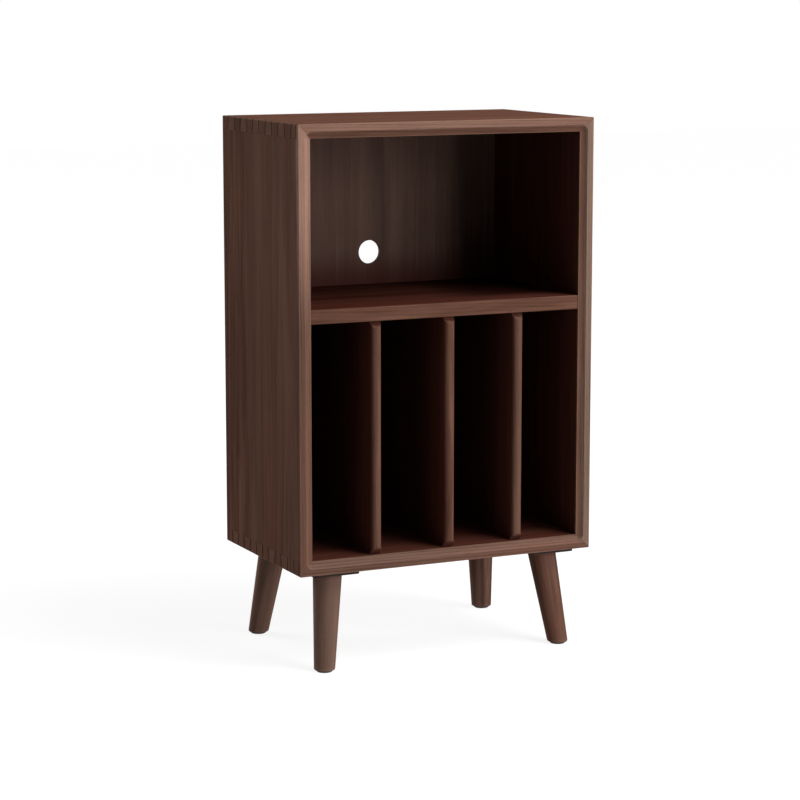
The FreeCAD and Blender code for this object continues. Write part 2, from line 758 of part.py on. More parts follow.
def make_leg_plate(corner, side, end):
    name = f"leg_plate_{corner}"
    body = new_body(name, (f"{side} * {LEG_X}", f"{end} * {LEG_Y}", PLATE_Z))
    half = "(sizes.plate_size / 2)"
    block(
        body,
        f"{name}_blank",
        "Additive",
        (f"-{half}", f"-{half}", "0"),
        ("sizes.plate_size", "sizes.plate_size", "sizes.plate_thickness"),
    )
    reach = number(half)
    dress_edges(
        body,
        f"{name}_corners",
        "Fillet",
        lambda point: near(abs(point.x), reach) and near(abs(point.y), reach),
        "sizes.plate_corner",
    )
    dress_edges(
        body,
        f"{name}_lower_edge",
        "Fillet",
        lambda point: near(point.z, 0),
        "sizes.plate_arris",
    )
    places = [
        (f"{across} * {PLATE_SCREW_OFFSET}", f"{along} * {PLATE_SCREW_OFFSET}")
        for across in (-1, 1)
        for along in (-1, 1)
    ]
    countersink(body, f"{name}_screw_holes", "XY_Plane", places, "plate_screw")
    bore = rod(
        body,
        f"{name}_bolt_hole",
        "Subtractive",
        on_leg_axis(side, end, f"(-{LEANING_OVERRUN})"),
        BOLT_HOLE_RADIUS,
        f"(sizes.plate_thickness + 2 * {LEANING_OVERRUN}) / cos({LEAN})",
    )
    lean(bore, "AttachmentOffset", side, end)
    finish_piece(name, body)


def make_hanger_bolt(corner, side, end):
    """The bolt along the leg's axis, with its origin where that axis meets the plate."""
    name = f"hanger_bolt_{corner}"
    body = new_body(name, (f"{side} * {LEG_X}", f"{end} * {LEG_Y}", PLATE_Z))
    lean(body, "Placement", side, end)
    rod(
        body,
        f"{name}_shank",
        "Additive",
        ("0", "0", f"-sizes.bolt_in_leg / cos({LEAN})"),
        "sizes.bolt_diameter / 2",
        f"(sizes.bolt_in_leg + {BOLT_TOP}) / cos({LEAN})",
    )
    ends = (
        number(f"-sizes.bolt_in_leg / cos({LEAN})"),
        number(f"{BOLT_TOP} / cos({LEAN})"),
    )
    dress_edges(
        body,
        f"{name}_ends",
        "Chamfer",
        lambda point: any(near(point.z, z) for z in ends),
        "sizes.bolt_chamfer",
    )
    finish_piece(name, body)


def make_glide(corner, side, end):
    name = f"glide_{corner}"
    foot_x = f"{side} * ({LEG_X} + sizes.leg_splay_side)"
    foot_y = f"{end} * ({LEG_Y} + sizes.leg_splay_end)"
    body = new_body(name, (foot_x, foot_y, "0"))
    rod(
        body,
        f"{name}_disc",
        "Additive",
        ("0", "0", "0"),
        "sizes.glide_diameter / 2",
        "sizes.glide_thickness",
    )
    dress_edges(
        body,
        f"{name}_lower_edge",
        "Fillet",
        lambda point: near(point.z, 0),
        "sizes.glide_round",
    )
    finish_piece(name, body)


def make_screw(name):
    """A countersunk wood screw: the middle of its head at the origin, its tip below."""
    body = new_body(name)
    head = f"(sizes.{name}_head / 2)"
    shank = f"(sizes.{name}_diameter / 2)"
    length = f"sizes.{name}_length"
    tip = f"(sizes.{name}_diameter * sizes.screw_tip_share)"
    profile = [
        ("0", "0"),
        (head, "0"),
        (shank, f"{shank} - {head}"),
        (shank, f"{tip} - {length}"),
        ("0", f"-{length}"),
    ]
    sketch = outlines(body, f"{name}_profile", "XZ_Plane", [profile])
    turned = body.newObject("PartDesign::Revolution", f"{name}_turned")
    turned.Profile = sketch
    turned.ReferenceAxis = (sketch, ["V_Axis"])
    turned.Angle = 360
    body.Tip = turned
    near_side = f"(sizes.{name}_head * sizes.recess_width_share / 2)"
    far_side = f"(sizes.{name}_head * sizes.recess_span_share / 2)"
    steps = [(near_side, far_side), (near_side, near_side), (far_side, near_side)]
    cross = (
        steps
        + [(x, f"-{y}") for x, y in reversed(steps)]
        + [(f"-{x}", f"-{y}") for x, y in steps]
        + [(f"-{x}", y) for x, y in reversed(steps)]
    )
    recess = outlines(body, f"{name}_recess_sketch", "XY_Plane", [cross])
    depth = f"sizes.{name}_head * sizes.recess_depth_share"
    extrude(body, f"{name}_recess", "Pocket", recess, depth)
    return body


def make_dowel():
    """A dowel that stands on its body's origin."""
    body = new_body("dowel")
    radius = "sizes.dowel_diameter / 2"
    rod(body, "dowel_rod", "Additive", ("0", "0", "0"), radius, "sizes.dowel_length")
    dress_edges(body, "dowel_ends", "Chamfer", lambda point: True, "sizes.dowel_chamfer")
    return body


def copies(name, piece, places, turn):
    """One sub-part of equal pieces, each turned and set at a place from the case's middle."""
    solids = []
    for place in places:
        solid = piece.Shape.copy()
        solid.Placement = Placement(vector(place), turn)
        solids.append(solid)
    item = doc.addObject("Part::Feature", name)
    item.Shape = Part.makeCompound(solids)
    item.Placement = Placement(Vector(0, 0, number(CASE_Z)), Rotation())
    finish_piece(name, item)


def make_fasteners():
    """The screws and dowels, which are placed by the holes that they fill."""
    plate_screw = make_screw("plate_screw")
    back_screw = make_screw("back_screw")
    dowel = make_dowel()
    doc.recompute()
    upright = Rotation()
    head_down = Rotation(Vector(1, 0, 0), 180)
    head_back = Rotation(Vector(1, 0, 0), -90)
    lying = Rotation(Vector(0, 1, 0), 90)
    underside = f"-{HALF_HEIGHT} - sizes.plate_thickness"
    places = [(x, y, underside) for x, y in plate_screw_places()]
    copies("plate_screws", plate_screw, places, head_down)
    places = [
        (x, PANEL_BACK_Y, z) for name in BACK_SCREWED for x, z in back_screw_places(name)
    ]
    copies("back_panel_screws", back_screw, places, head_back)
    in_face = "sizes.dowel_depth - sizes.dowel_end_play"
    in_end = f"{DOWEL_END_DEPTH} - sizes.dowel_end_play"
    starts = (f"-{INNER_X} - ({in_face})", f"{INNER_X} - ({in_end})")
    places = [(x, y, SHELF_MIDDLE_Z) for x in starts for y in DOWEL_YS]
    copies("shelf_dowels", dowel, places, lying)
    for name, start in (
        ("divider_dowels_lower", f"-{INNER_Z} - ({in_face})"),
        ("divider_dowels_upper", f"{SHELF_Z} - ({in_end})"),
    ):
        places = [(x, y, start) for x, y in divider_dowel_places()]
        copies(name, dowel, places, upright)


def check_and_write():
    """Stops on any failed or empty shape, then writes each sub-part to its own file."""
    doc.recompute()
    for item in doc.Objects:
        if "Invalid" in item.State or "Error" in item.State:
            raise RuntimeError(f"{item.Label} failed: {item.State}")
    for name, item in made.items():
        if item.Shape.isNull() or not item.Shape.isValid() or not item.Shape.Solids:
            raise RuntimeError(f"{name} has no sound shape")
        print(f"{name}: {len(item.Shape.Solids)} solid(s), {item.Shape.Volume:.0f} mm3")
    os.makedirs("parts", exist_ok=True)
    for name, item in made.items():
        item.Shape.exportStep(f"parts/{name}.step")


case_form = make_case_form()
make_side_panel("side_panel_left", -1, case_form)
make_side_panel("side_panel_right", 1, case_form)
make_end_board("bottom_board", -1, case_form)
make_end_board("top_board", 1, case_form)
make_shelf()
for divider in DIVIDERS:
    make_divider(divider)
make_back_panel()
for corner_name, (side_sign, end_sign) in CORNERS.items():
    make_leg(corner_name, side_sign, end_sign)
    make_leg_plate(corner_name, side_sign, end_sign)
    make_hanger_bolt(corner_name, side_sign, end_sign)
    make_glide(corner_name, side_sign, end_sign)
make_fasteners()
check_and_write()
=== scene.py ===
# %% [markdown]
# # A walnut record cabinet
#
# This file dresses a record cabinet: a dovetailed walnut case on four splayed legs, with an
# open compartment above and four slots for records below. The cabinet's solids come ready
# made and stay where they are. What is added here is what the eye judges it by: wood with
# its grain running the right way in every board, joint lines, turned legs, dark steel plates
# and light that shows the hollow cut round the opening.
#
# The first cell brings in the solids. Everything is in metres, +Z is up, and the open front
# faces -Y.

# %% Bring in the cabinet's solids
import math

import bmesh
import bpy
import numpy as np
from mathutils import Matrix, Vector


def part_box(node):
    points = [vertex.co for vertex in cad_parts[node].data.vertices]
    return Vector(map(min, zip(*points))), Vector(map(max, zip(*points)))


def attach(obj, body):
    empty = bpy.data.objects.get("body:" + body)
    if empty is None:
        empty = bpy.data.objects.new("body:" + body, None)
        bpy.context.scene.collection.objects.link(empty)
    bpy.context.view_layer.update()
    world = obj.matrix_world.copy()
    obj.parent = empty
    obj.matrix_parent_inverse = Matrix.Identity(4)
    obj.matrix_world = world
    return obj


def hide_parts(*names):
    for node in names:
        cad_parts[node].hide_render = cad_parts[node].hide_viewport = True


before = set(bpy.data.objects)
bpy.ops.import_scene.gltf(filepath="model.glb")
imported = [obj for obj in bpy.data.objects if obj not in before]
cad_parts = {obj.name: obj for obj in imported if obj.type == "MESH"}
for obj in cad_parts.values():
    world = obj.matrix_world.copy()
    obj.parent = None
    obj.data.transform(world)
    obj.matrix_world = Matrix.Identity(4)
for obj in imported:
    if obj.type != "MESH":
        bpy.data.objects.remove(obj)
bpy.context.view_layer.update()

scene = bpy.context.scene
scene.view_settings.view_transform = "Standard"

# %% [markdown]
# ## The measures that the rest is hung on
#
# Joint lines, hollows and edges are all drawn from a few planes of the case. They could be
# typed in again, but a typed copy goes wrong as soon as the cabinet changes, so they are
# read from the boxes of the boards themselves.

# %% Read the case's planes from its boards
def low_high(name):
    """A solid's lowest and highest corners, as two arrays."""
    return (np.array(corner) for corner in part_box(name))


left_low, left_high = low_high("side_panel_left")
shelf_low, shelf_high = low_high("shelf")
panel_low, panel_high = low_high("back_panel")
BOARD = left_high[0] - left_low[0]
HALF_WIDTH = -left_low[0]
FRONT = left_low[1]
BACK = left_high[1]
BOTTOM, TOP = left_low[2], left_high[2]
MIDDLE = (BOTTOM + TOP) / 2
HALF_HEIGHT = (TOP - BOTTOM) / 2
INNER_X = HALF_WIDTH - BOARD
INNER_Z = HALF_HEIGHT - BOARD
case_size = 2 * HALF_WIDTH, BACK - FRONT, 2 * HALF_HEIGHT
print("case", np.round(case_size, 3).tolist(), "of boards", round(float(BOARD), 3), "thick")

# %% [markdown]
# ## The camera
#
# The cabinet is seen from its left front corner, a little above its top. A long lens from
# four and a half metres keeps the uprights upright, as furniture is usually photographed.

# %% Set up the camera
def place_camera(place, turn, tilt, lens):
    """A camera at a place, turned about the upright axis and tilted down, in degrees."""
    camera = bpy.data.objects.new("camera", bpy.data.cameras.new("camera"))
    scene.collection.objects.link(camera)
    camera.location = place
    camera.rotation_euler = (math.radians(90 - tilt), 0, math.radians(-turn))
    camera.data.lens = lens
    camera.data.sensor_width = 36
    scene.camera = camera
    return camera


camera = place_camera((-1.9134, -3.9818, 1.1356), turn=25.51, tilt=9.12, lens=115.2)
print("camera at", [round(value, 3) for value in camera.location])

# %% [markdown]
# ## Sums on a surface
#
# A finish is a sum that is worked out at every point of a surface. Blender writes such sums
# as boxes joined by wires, and a long one becomes hard to read. It could be wired by hand,
# but a small class that wraps one socket and answers to +, -, * and / lets the sum be
# written as a sum. Everything that isn't plain arithmetic comes from one method, `node`,
# and the nodes that are used most have a short name that calls it.

# %% Write shader sums as Python sums
class Reading:
    """A number, colour or vector that a finish reads at every point of a surface."""

    def __init__(self, finish, socket):
        self.finish = finish
        self.socket = socket

    def sum(self, operation, *values):
        return self.finish.node("ShaderNodeMath", {"operation": operation}, values)

    def __add__(self, other):
        return self.sum("ADD", self, other)

    def __radd__(self, other):
        return self.sum("ADD", other, self)

    def __sub__(self, other):
        return self.sum("SUBTRACT", self, other)

    def __rsub__(self, other):
        return self.sum("SUBTRACT", other, self)

    def __mul__(self, other):
        return self.sum("MULTIPLY", self, other)

    def __rmul__(self, other):
        return self.sum("MULTIPLY", other, self)

    def __truediv__(self, other):
        return self.sum("DIVIDE", self, other)

    def __mod__(self, other):
        return self.sum("FLOORED_MODULO", self, other)

    def __abs__(self):
        return self.sum("ABSOLUTE", self)

    def __lt__(self, other):
        return self.sum("LESS_THAN", self, other)

    def __gt__(self, other):
        return self.sum("GREATER_THAN", self, other)

    def least(self, other):
        return self.sum("MINIMUM", self, other)

    def most(self, other):
        return self.sum("MAXIMUM", self, other)

    def whole(self):
        return self.sum("FLOOR", self)

    def rise(self, low, high):
        """0 below low, 1 above high and a smooth slope between them."""
        settings = {"interpolation_type": "SMOOTHSTEP"}
        return self.finish.node("ShaderNodeMapRange", settings, (self, low, high, 0.0, 1.0))


class Finish:
    """A material that is built from readings."""

    def __init__(self, name):
        self.material = bpy.data.materials.new(name)
        self.material.use_nodes = True
        self.tree = self.material.node_tree
        self.tree.nodes.clear()
        texture = self.node("ShaderNodeTexCoord", output="Object")
        self.place = texture
        split = self.tree.nodes.new("ShaderNodeSeparateXYZ")
        self.tree.links.new(texture.socket, split.inputs[0])
        self.x, self.y, self.z = (Reading(self, socket) for socket in split.outputs)

    def node(self, kind, settings=None, values=(), output=0):
        """One node: its type, its settings, then its sockets' values or links."""
        made = self.tree.nodes.new(kind)
        for key, value in (settings or {}).items():
            if key == "stops":
                set_stops(made.color_ramp, value)
            else:
                setattr(made, key, value)
        pairs = values.items() if isinstance(values, dict) else enumerate(values)
        for key, value in pairs:
            if isinstance(value, Reading):
                self.tree.links.new(value.socket, made.inputs[key])
            else:
                made.inputs[key].default_value = value
        return Reading(self, made.outputs[output])

    def point(self, x, y, z):
        return self.node("ShaderNodeCombineXYZ", None, (x, y, z))

    def length(self, x, y, z):
        """The length of a vector that is given by its three parts."""
        settings = {"operation": "LENGTH"}
        return self.node("ShaderNodeVectorMath", settings, (self.point(x, y, z),), 1)

    def noise(self, point, detail=3.0, roughness=0.5, scale=1.0):
        """Noise at a reading of a point, or at a point that is given by its three parts."""
        if isinstance(point, tuple):
            point = self.point(*point)
        values = {"Vector": point, "Scale": scale, "Detail": detail, "Roughness": roughness}
        return self.node("ShaderNodeTexNoise", None, values)

    def mix(self, share, first, second):
        """The first colour where the share is 0 and the second where it is 1."""
        values = {0: share, 6: first, 7: second}
        for key in (6, 7):
            if isinstance(values[key], tuple):
                values[key] = (*values[key], 1.0)
        return self.node("ShaderNodeMix", {"data_type": "RGBA"}, values, 2)

    def ramp(self, value, stops):
        return self.node("ShaderNodeValToRGB", {"stops": stops}, (value,))

    def surface(self, constants, readings, height, bump, depth):
        """Closes the finish with its shader and a bump from its height."""
        shader = self.tree.nodes.new("ShaderNodeBsdfPrincipled")
        for key, value in constants.items():
            shader.inputs[key].default_value = value
        for key, value in readings.items():
            self.tree.links.new(value.socket, shader.inputs[key])
        values = {"Strength": bump, "Distance": depth, "Height": height}
        normal = self.node("ShaderNodeBump", None, values)
        self.tree.links.new(normal.socket, shader.inputs["Normal"])
        out = self.tree.nodes.new("ShaderNodeOutputMaterial")
        self.tree.links.new(shader.outputs[0], out.inputs[0])
        return self.material


def set_stops(ramp, stops):
    """Gives a colour ramp its stops: places from 0 to 1 with linear colours."""
    while len(ramp.elements) < len(stops):
        ramp.elements.new(1.0)
    for element, (place, colour) in zip(ramp.elements, stops):
        element.position = place
        element.color = (*colour, 1.0)


print("readings answer to + - * / % < > and abs")

# %% [markdown]
# ## The floor and the light
#
# The cabinet stands on a pale floor in a white studio. A bright floor could be had with
# more light, but that would bleach the wood too. Light Path tells the kinds of ray apart:
# what the camera and the shine of metal see is nearly white, while the light that the floor
# passes on to the wood stays plain. The compartments are deep and almost black towards the
# right, so nearly all the light comes from the right in front, as from a window, with one
# lamp above it for the top. The air itself gives hardly any light, or the slots would turn
# grey. A weaker lamp behind on the left lifts the shaded side and the back.

# %% Lay the floor and light the studio
def seen(finish):
    """1 for rays that show the background: the camera's and those of shine and glass."""
    light_path = "ShaderNodeLightPath"
    camera_ray = finish.node(light_path, output="Is Camera Ray")
    glossy_ray = finish.node(light_path, output="Is Glossy Ray")
    through_ray = finish.node(light_path, output="Is Transmission Ray")
    return (camera_ray + glossy_ray + through_ray).least(1.0)


def lay_floor(reach, bounce, shadow, near, far):
    """A floor whose own light hides most of its shading, but leaves the shadow to be seen.

    The lamps hardly reach the far floor, so its own light grows with the distance."""
    mesh = bpy.data.meshes.new("floor")
    corners = [(-reach, -reach, 0), (reach, -reach, 0), (reach, reach, 0), (-reach, reach, 0)]
    mesh.from_pydata(corners, [], [(0, 1, 2, 3)])
    floor = bpy.data.objects.new("floor", mesh)
    scene.collection.objects.link(floor)
    finish = Finish("studio_floor")
    plain = finish.node("ShaderNodeBsdfDiffuse", None, ((bounce,) * 3 + (1.0,),))
    dim = finish.node("ShaderNodeBsdfDiffuse", None, ((shadow,) * 3 + (1.0,),))
    away = finish.length(finish.x, finish.y, finish.z)
    glow = finish.mix(away.rise(0.9, 2.6), (near,) * 3, (far,) * 3)
    light = finish.node("ShaderNodeEmission", None, (glow, 1.0))
    bright = finish.node("ShaderNodeAddShader", None, (dim, light))
    mixed = finish.node("ShaderNodeMixShader", None, (seen(finish), plain, bright))
    out = finish.tree.nodes.new("ShaderNodeOutputMaterial")
    finish.tree.links.new(mixed.socket, out.inputs[0])
    mesh.materials.append(finish.material)


def hang_lamp(name, azimuth, elevation, distance, size, level):
    """A square lamp that gives a surface turned to it that level of light.

    Azimuth 0 is straight in front of the cabinet and 90 to its right."""
    light = bpy.data.lights.new(name, "AREA")
    light.shape = "SQUARE"
    light.size = size
    light.energy = level * (math.pi * distance) ** 2
    lamp = bpy.data.objects.new(name, light)
    scene.collection.objects.link(lamp)
    turn, up = math.radians(azimuth), math.radians(elevation)
    out = math.cos(up)
    way = np.array([math.sin(turn) * out, -math.cos(turn) * out, math.sin(up)])
    lamp.location = way * distance + (0, 0, MIDDLE)
    lamp.rotation_euler = (math.radians(90) - up, 0, turn)


def paint_air(level):
    """A dim grey world that shows white to the camera and in reflections."""
    scene.world = bpy.data.worlds.new("studio")
    scene.world.use_nodes = True
    tree = scene.world.node_tree
    tree.nodes.clear()
    path = tree.nodes.new("ShaderNodeLightPath")
    total = path.outputs["Is Camera Ray"]
    for name in ("Is Glossy Ray", "Is Transmission Ray"):
        add = tree.nodes.new("ShaderNodeMath")
        add.operation = "MAXIMUM"
        tree.links.new(total, add.inputs[0])
        tree.links.new(path.outputs[name], add.inputs[1])
        total = add.outputs[0]
    strength = tree.nodes.new("ShaderNodeMapRange")
    strength.inputs["To Min"].default_value = level
    tree.links.new(total, strength.inputs["Value"])
    air = tree.nodes.new("ShaderNodeBackground")
    air.inputs["Color"].default_value = (1, 1, 1, 1)
    tree.links.new(strength.outputs[0], air.inputs["Strength"])
    out = tree.nodes.new("ShaderNodeOutputWorld")
    tree.links.new(air.outputs[0], out.inputs[0])


lay_floor(reach=14, bounce=0.6, shadow=0.26, near=0.86, far=0.98)
paint_air(0.04)
hang_lamp("high_lamp", azimuth=42, elevation=54, distance=3.8, size=2.4, level=0.85)
hang_lamp("window_lamp", azimuth=31, elevation=6, distance=3.8, size=2.4, level=0.80)
hang_lamp("back_lamp", azimuth=-142, elevation=20, distance=4.0, size=2.6, level=0.50)
print("lamps:", sorted(light.name for light in bpy.data.lights))

# %% [markdown]
# ## Walnut
#
# Walnut is chocolate brown with darker and redder streaks that run along the board. Close
# to, it shows three things: growth rings, which cross the board's face as long slanting
# lines, fine fibres, and pores, which are short dark scratches along the grain. A picture
# of wood could be wrapped round each board, but its grain would bend round the corners.
# Here the wood is solid: every point of the board has its colour, so the end of a board
# shows its rings and its edge shows its lines, as a sawn board does.
#
# A wide board is glued up from staves. Each stave gets its own number, and from that its
# own tone and its own place in the tree.
#
# This cabinet's surface is dull, so its shine is close to none. What sheen the front edges
# show is painted into their colour, in the board finishes below.

# %% Work out walnut as a solid
DARK = (0.050, 0.020, 0.013)
BROWN = (0.130, 0.061, 0.041)
FAWN = (0.228, 0.124, 0.087)
GREY_BROWN = (0.114, 0.070, 0.053)
RED_BROWN = (0.140, 0.049, 0.033)
PORE_DARK = (0.020, 0.009, 0.006)
JOINT_DARK = (0.008, 0.004, 0.003)
RING_SPACING = 0.0052


def walnut_tone(finish, along, across, through, stave, seed, rings=0.10, figure=1.0):
    """Readings of the wood: its colour, its pores, its fibres and its late wood.

    A growth ring is a circle about the tree's heart, so its number is the distance to the
    heart over the rings' spacing. The heart lies beside the board and wanders slowly.
    Rings says how dark the late wood is, and figure how strong the streaks are. Every
    noise is many times finer across the grain than along it."""
    number = (across / stave + 0.5).whole() + seed
    settings = {"noise_dimensions": "1D"}
    chance = finish.node("ShaderNodeTexWhiteNoise", settings, {"W": number}, 1)
    parts = finish.tree.nodes.new("ShaderNodeSeparateColor")
    finish.tree.links.new(chance.socket, parts.inputs[0])
    luck, shift, tint = (Reading(finish, socket) for socket in parts.outputs)
    slow = finish.noise((along * 1.6, across * 7.0 + number * 3.7, through * 7.0), 2.0)
    heart_side = across % stave - stave * (shift * 1.6 - 0.3) + (slow - 0.5) * 0.030
    heart_depth = through + 0.035 + luck * 0.05 + along * 0.018
    to_heart = finish.length(heart_side, heart_depth, 0.0)
    waver = finish.noise((along * 9.0, across * 60.0, through * 60.0), 3.0)
    ring = ((to_heart + (waver - 0.5) * 0.004) / RING_SPACING) % 1.0
    late = ring.rise(0.35, 0.92) - ring.rise(0.93, 1.0)
    place = along * 2.1 + number * 5.1, across * 30.0, through * 30.0
    streak = finish.noise(place, 4.0, 0.6)
    band = finish.noise((along * 3.0 - number * 1.7, across * 135.0, through * 55.0), 2.0)
    fibre = finish.noise((along * 14.0, across * 620.0, through * 620.0), 3.0, 0.6)
    pores = finish.noise((along * 95.0, across * 1900.0, through * 1900.0), 2.0, 0.5)
    pore = pores.rise(0.60, 0.72) * (0.45 + late * 0.55)
    value = (
        0.50
        + (streak - 0.5) * 1.25 * figure
        + (band - 0.5) * 0.55 * figure
        + (fibre - 0.5) * 0.34
        + (luck - 0.5) * 0.16
        - late * rings
    )
    warm = finish.ramp(value, [(0.12, DARK), (0.52, BROWN), (0.95, FAWN)])
    grey = (tint * 0.7 + slow * 0.5 - 0.3).rise(0.0, 1.0)
    colour = finish.mix(grey * 0.45, warm, GREY_BROWN)
    red = finish.noise((along * 0.9 + number * 2.3, across * 16.0, through * 16.0), 2.0)
    colour = finish.mix(red.rise(0.45, 0.75) * 0.4, colour, RED_BROWN)
    return colour, pore, fibre, late


def close_walnut(finish, colour, pore, fibre, late, groove=None, shine=0.05):
    """An oiled surface: open pores are dark and dull, and late wood shines a little more."""
    colour = finish.mix(pore * 0.55, colour, PORE_DARK)
    height = fibre * 0.5 - pore * 1.2 + late * 0.25
    if groove is not None:
        colour = finish.mix(groove * 0.9, colour, JOINT_DARK)
        height = height - groove * 2.0
    roughness = 0.66 + fibre * 0.14 + pore * 0.16 - late * 0.06
    constants = {"Specular IOR Level": shine}
    readings = {"Base Color": colour, "Roughness": roughness}
    return finish.surface(constants, readings, height, bump=0.25, depth=0.0003)


print("brown as sRGB:", [round(255 * c ** (1 / 2.2)) for c in BROWN])

# %% [markdown]
# ## Edges and joints of the case
#
# The four boards meet in dovetails, with a small mitre at the front. From outside, a good
# joint shows as hairlines: the flanks of the pins, the line across their roots and the
# diagonal of the mitre. The solids have the joint itself, but its faces are flush, so
# nothing shows between boards of one wood. The hairlines could be cut as grooves, at the
# cost of many faces. Here they are drawn by the finish from the joint's own measures, and
# the same lines lower the surface a little.
#
# Handled edges lose their dark oil. A point is on an edge of a box when two of its three
# distances to the faces are small, so the middle one of the three tells how near it is.

# %% Draw hairlines and worn edges from the case's measures
MITRE_DEPTH, FRONT_PIN, TAILS, FLARE = 0.007, 0.0205, 6, 0.0015
MITRE_END = FRONT + MITRE_DEPTH
COVE_WIDTH = 0.012
HAIRLINE, TIGHT = 0.0014, 0.0004
SKIN = 0.003
first_tail = MITRE_END + FRONT_PIN
FINGER = (BACK - first_tail) / (2 * TAILS - 1)
first_pin = first_tail + 1.5 * FINGER


def line(distance, width=HAIRLINE):
    """1 where a distance is nearly zero."""
    return 1.0 - abs(distance).rise(width * 0.6, width * 1.5)


def joint_lines(finish):
    """The hairlines of the four corner joints.

    The pins repeat every two fingers, so the place along the row is folded about a pin's
    middle, and a flank is where that folded distance is the pin's half width there."""
    side = abs(finish.x)
    up = abs(finish.z - MIDDLE)
    lean = (up - INNER_Z) * (2 * FLARE / BOARD) - FLARE
    pitch = 2 * FINGER
    fold = abs((finish.y - (first_pin - FINGER)) % pitch - FINGER)
    in_row = (finish.y > first_tail + FINGER / 2) * (finish.y < BACK - FINGER / 2)
    to_flank = fold - (FINGER / 2 - lean)
    to_front_flank = finish.y - (first_tail - lean)
    behind = finish.y > MITRE_END
    pin = ((to_flank < 0.0) * in_row).most((to_front_flank < 0.0) * behind)
    flank = (line(to_flank) * in_row).most(line(to_front_flank))
    outside = side > HALF_WIDTH - SKIN
    on_end = (up > HALF_HEIGHT - SKIN).most(finish.y > BACK - SKIN)
    tail = (1.0 - pin) * behind
    flank = flank * (side > INNER_X) * (up > INNER_Z)
    root = line(up - INNER_Z, TIGHT) * pin * outside
    tail_root = line(side - INNER_X, TIGHT) * tail * on_end * (up > INNER_Z)
    behind_mitre = line(finish.y - MITRE_END) * outside * (up > INNER_Z)
    mitre = line((side - INNER_X) - (up - INNER_Z), TIGHT)
    mitre = mitre * (finish.y < MITRE_END) * (side > INNER_X - 0.001)
    return flank.most(behind_mitre).most(root.most(tail_root).most(mitre) * 0.5)


def worn_edges(finish):
    """1 on the case's outer edges and on both edges of the hollow, 0 on its faces."""
    side = HALF_WIDTH - abs(finish.x)
    up = HALF_HEIGHT - abs(finish.z - MIDDLE)
    depth = (BACK - FRONT) / 2 - abs(finish.y - (FRONT + BACK) / 2)
    nearest_two = side.least(up).most(side.most(up).least(depth))
    outer = 1.0 - nearest_two.rise(0.0004, 0.0026)
    inwards = finish.length((BOARD - side).most(0.0), 0.0, (BOARD - up).most(0.0))
    front = finish.y < FRONT + 0.0015
    mouth = finish.y < FRONT + 0.008
    rims = (line(inwards - COVE_WIDTH, 0.0009) * front).most(line(inwards, 0.0008) * mouth)
    return outer.most(rims * 0.5)


print(f"pins every {2 * FINGER * 1000:.1f} mm, the first at y = {first_pin:.4f}")

# %% [markdown]
# ## A finish for each kind of board
#
# Wood runs along a board whichever way the board lies: upwards in the sides, the dividers
# and the back, across in the top, the bottom and the shelf. So a finish names which
# coordinate runs along the board, which across it and which through it, and the same sum
# does for all of them.
#
# A board also differs from place to place. These tones were matched to a photograph of the
# cabinet, and several are painted light. These tones were matched to a photograph of the
# cabinet, and their causes are guesses. The front edges carry a painted sheen for a few
# millimetres: strongest at the left side's upper end, where it is a painted highlight, and
# grey rather than warm on the right side and the bottom. Behind them the wood is painted
# redder and darker, as painted shade with red light bounced between the boards, and the
# deeper it lies the darker it is painted. On the shelf that painted shade grows towards the
# right, as the right side's shadow. Behind them the wood is redder, perhaps because less
# light has bleached it. It also looks duskier the deeper it lies, and on the shelf towards
# the right, which may be the photograph's light and not the wood. The top's face is russet.
# The end grain of the pins has a tone of its own, and the edges are paler, as if rubbed by
# hands.

# %% Finish the boards
WARM_SHEEN = (0.355, 0.205, 0.155)
GREY_SHEEN = (0.325, 0.250, 0.200)
PAINTED_RED_SHADE = (0.060, 0.009, 0.005)
PAINTED_DEEP_SHADE = (0.014, 0.004, 0.003)
RUSSET = (0.116, 0.034, 0.014)
END_GRAIN = (0.158, 0.079, 0.055)
RUBBED = (0.30, 0.175, 0.125)


def painted_front_sheen(finish, share, reach):
    """The share of painted sheen at a board's front edge, and 0 behind its reach."""
    wander = finish.noise((finish.x * 5.0, finish.y * 40.0, finish.z * 5.0), 3.0)
    depth = finish.y - FRONT + (wander - 0.5) * reach
    return (1.0 - depth.rise(reach * 0.33, reach)) * (wander * 0.6 + 0.7) * share


def paint_inner_shade(finish, colour, depth_shade):
    """Painted shade: redder behind the front edges, as bounced red light, and darker with
    depth.
    """
    inner = (abs(finish.x) < INNER_X + 0.001) * (abs(finish.z - MIDDLE) < INNER_Z + 0.001)
    depth = finish.y - FRONT
    colour = finish.mix(depth.rise(0.008, 0.013) * inner * 0.62, colour, PAINTED_RED_SHADE)
    return finish.mix(depth.rise(0.01, 0.11) * inner * depth_shade, colour, PAINTED_DEEP_SHADE)


